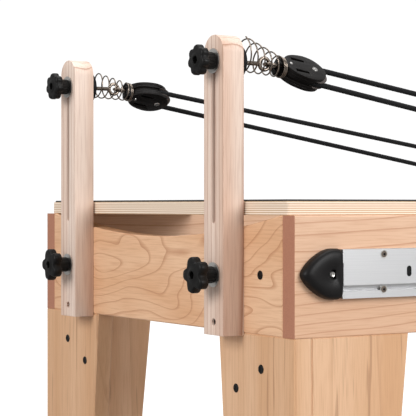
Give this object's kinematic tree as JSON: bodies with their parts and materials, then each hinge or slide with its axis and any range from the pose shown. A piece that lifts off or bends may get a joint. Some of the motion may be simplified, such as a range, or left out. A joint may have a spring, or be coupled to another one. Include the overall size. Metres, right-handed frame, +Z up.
{
  "type": "pilates reformer",
  "caption": "Wooden Pilates reformer: tapered-leg frame, sprung rolling carriage, pulley risers with ropes, outer aluminium tracks and a folding footbar.",
  "frame": {"origin": "centre of the whole object's footprint, at floor level under the legs", "axes": "+X from the head (pulley) end to the foot end, +Y to the user's left when lying on the carriage, +Z up"},
  "size_m": [2.2164, 0.836, 0.7731],
  "materials": {
    "maple": "clear satin lacquer",
    "maple_leg": "clear satin lacquer",
    "ash_riser": "clear satin lacquer",
    "birch_plywood": "clear satin lacquer",
    "rubber_mat": "ribbed matte",
    "satin_aluminium": "satin anodised",
    "cap_plastic": "fine texture",
    "knob_plastic": "fine texture",
    "pulley_plastic": "satin",
    "sheave_plastic": "satin",
    "wheel_plastic": "polyurethane tread",
    "nickel_steel": "nickel plated wire",
    "painted_bar": "powder coated",
    "painted_tube": "powder coated",
    "braided_rope": "braided polyester",
    "webbing": "woven",
    "vinyl": "grained upholstery vinyl"
  },
  "bodies": {
    "frame": {"head_end_board": "maple", "foot_end_board": "maple", "head_platform": "birch_plywood", "foot_platform": "birch_plywood", "head_platform_mat": "rubber_mat", "spring_bar": "painted_bar", "side_rail_right": "maple", "outer_track_right": "satin_aluminium", "running_rail_right": "satin_aluminium", "riser_right": "ash_riser", "leg_side_board_head_right": "maple_leg", "leg_end_board_head_right": "maple_leg", "track_cap_head_right": "cap_plastic", "leg_side_board_foot_right": "maple_leg", "leg_end_board_foot_right": "maple_leg", "track_cap_foot_right": "cap_plastic", "side_rail_left": "maple", "outer_track_left": "satin_aluminium", "running_rail_left": "satin_aluminium", "riser_left": "ash_riser", "leg_side_board_head_left": "maple_leg", "leg_end_board_head_left": "maple_leg", "track_cap_head_left": "cap_plastic", "leg_side_board_foot_left": "maple_leg", "leg_end_board_foot_left": "maple_leg", "track_cap_foot_left": "cap_plastic", "carriage_spring_1": "nickel_steel", "carriage_spring_2": "nickel_steel", "carriage_spring_3": "nickel_steel", "carriage_spring_4": "nickel_steel"},
    "carriage": {"carriage_deck": "birch_plywood", "carriage_pad": "vinyl", "shoulder_rest_right": "vinyl", "hand_loop_right": "webbing", "rope_cleat_right": "knob_plastic", "shoulder_rest_left": "vinyl", "hand_loop_left": "webbing", "rope_cleat_left": "knob_plastic"},
    "headrest": {"headrest": "vinyl"},
    "wheel_head_right": {"carriage_wheel_head_right": "wheel_plastic"},
    "wheel_foot_right": {"carriage_wheel_foot_right": "wheel_plastic"},
    "pulley_carrier_right": {"pulley_stem_right": "nickel_steel"},
    "top_knob_right": {"top_knob_right": "knob_plastic"},
    "pulley_block_right": {"pulley_block_right": "pulley_plastic", "pulley_spring_right": "nickel_steel", "rope_right": "braided_rope"},
    "sheave_right": {"sheave_right": "sheave_plastic"},
    "lower_knob_right": {"lower_knob_right": "knob_plastic"},
    "wheel_head_left": {"carriage_wheel_head_left": "wheel_plastic"},
    "wheel_foot_left": {"carriage_wheel_foot_left": "wheel_plastic"},
    "pulley_carrier_left": {"pulley_stem_left": "nickel_steel"},
    "top_knob_left": {"top_knob_left": "knob_plastic"},
    "pulley_block_left": {"pulley_block_left": "pulley_plastic", "pulley_spring_left": "nickel_steel", "rope_left": "braided_rope"},
    "sheave_left": {"sheave_left": "sheave_plastic"},
    "lower_knob_left": {"lower_knob_left": "knob_plastic"},
    "footbar_carriage": {"footbar_slider_right": "satin_aluminium", "footbar_slider_left": "satin_aluminium"},
    "footbar": {"footbar": "painted_tube"}
  },
  "joints": [
    {"name": "carriage_slide", "type": "slide", "parent": "frame", "child": "carriage", "axis": [-1, 0, 0], "range_m": [0, 0.7], "stiffness_N_per_m": 120, "springref_m": -0.35, "deforming": ["carriage_spring_1", "carriage_spring_2", "carriage_spring_3", "carriage_spring_4", "rope_right", "rope_left"]},
    {"name": "headrest_tilt", "type": "hinge", "parent": "carriage", "child": "headrest", "pos_m": [0.18615, 0, 0.4765], "axis": [0, 1, 0], "range_deg": [0, 25]},
    {"name": "wheel_head_right_roll", "type": "hinge", "parent": "carriage", "child": "wheel_head_right", "pos_m": [0.01815, -0.296, 0.4063], "axis": [0, 1, 0], "continuous": true},
    {"name": "wheel_foot_right_roll", "type": "hinge", "parent": "carriage", "child": "wheel_foot_right", "pos_m": [0.54815, -0.296, 0.4063], "axis": [0, 1, 0], "continuous": true},
    {"name": "pulley_height_right", "type": "slide", "parent": "frame", "child": "pulley_carrier_right", "axis": [0, 0, 1], "range_m": [-0.135, 0], "deforming": ["rope_right", "pulley_spring_right"]},
    {"name": "top_knob_turn_right", "type": "hinge", "parent": "pulley_carrier_right", "child": "top_knob_right", "pos_m": [-1.09185, -0.211, 0.652], "axis": [-1, 0, 0], "continuous": true},
    {"name": "pulley_swing_right", "type": "hinge", "parent": "pulley_carrier_right", "child": "pulley_block_right", "pos_m": [-0.98985, -0.211, 0.652], "axis": [0, 1, 0], "range_deg": [-9.5, 0.5], "deforming": ["rope_right", "pulley_spring_right"]},
    {"name": "sheave_spin_right", "type": "hinge", "parent": "pulley_block_right", "child": "sheave_right", "pos_m": [-0.9168, -0.211, 0.64017], "axis": [0.1131, -0.7071, 0.698], "continuous": true},
    {"name": "lower_knob_turn_right", "type": "hinge", "parent": "frame", "child": "lower_knob_right", "pos_m": [-1.09185, -0.211, 0.372], "axis": [-1, 0, 0], "continuous": true},
    {"name": "wheel_head_left_roll", "type": "hinge", "parent": "carriage", "child": "wheel_head_left", "pos_m": [0.01815, 0.296, 0.4063], "axis": [0, 1, 0], "continuous": true},
    {"name": "wheel_foot_left_roll", "type": "hinge", "parent": "carriage", "child": "wheel_foot_left", "pos_m": [0.54815, 0.296, 0.4063], "axis": [0, 1, 0], "continuous": true},
    {"name": "pulley_height_left", "type": "slide", "parent": "frame", "child": "pulley_carrier_left", "axis": [0, 0, 1], "range_m": [-0.1283, 0.0067], "deforming": ["rope_left", "pulley_spring_left"]},
    {"name": "top_knob_turn_left", "type": "hinge", "parent": "pulley_carrier_left", "child": "top_knob_left", "pos_m": [-1.09185, 0.211, 0.6453], "axis": [-1, 0, 0], "continuous": true},
    {"name": "pulley_swing_left", "type": "hinge", "parent": "pulley_carrier_left", "child": "pulley_block_left", "pos_m": [-0.98985, 0.211, 0.6453], "axis": [0, 1, 0], "range_deg": [-9.5, 0.5], "deforming": ["rope_left", "pulley_spring_left"]},
    {"name": "sheave_spin_left", "type": "hinge", "parent": "pulley_block_left", "child": "sheave_left", "pos_m": [-0.9168, 0.211, 0.63347], "axis": [0.1412, 0.4695, 0.8716], "continuous": true},
    {"name": "lower_knob_turn_left", "type": "hinge", "parent": "frame", "child": "lower_knob_left", "pos_m": [-1.09185, 0.211, 0.372], "axis": [-1, 0, 0], "continuous": true},
    {"name": "footbar_slide", "type": "slide", "parent": "frame", "child": "footbar_carriage", "axis": [1, 0, 0], "range_m": [-0.15, 0.1]},
    {"name": "footbar_fold", "type": "hinge", "parent": "footbar_carriage", "child": "footbar", "pos_m": [0.85815, 0, 0.37735], "axis": [0, 1, 0], "range_deg": [-60, 60]}
  ],
  "couplings": [
    {"joint": "wheel_head_right_roll", "follows": "carriage_slide", "rad_per_m": -45.455},
    {"joint": "wheel_foot_right_roll", "follows": "carriage_slide", "rad_per_m": -45.455},
    {"joint": "pulley_swing_right", "follows": "pulley_height_right", "rad_per_m": 1.1561},
    {"joint": "wheel_head_left_roll", "follows": "carriage_slide", "rad_per_m": -45.455},
    {"joint": "wheel_foot_left_roll", "follows": "carriage_slide", "rad_per_m": -45.455},
    {"joint": "pulley_swing_left", "follows": "pulley_height_left", "rad_per_m": 1.1561}
  ]
}
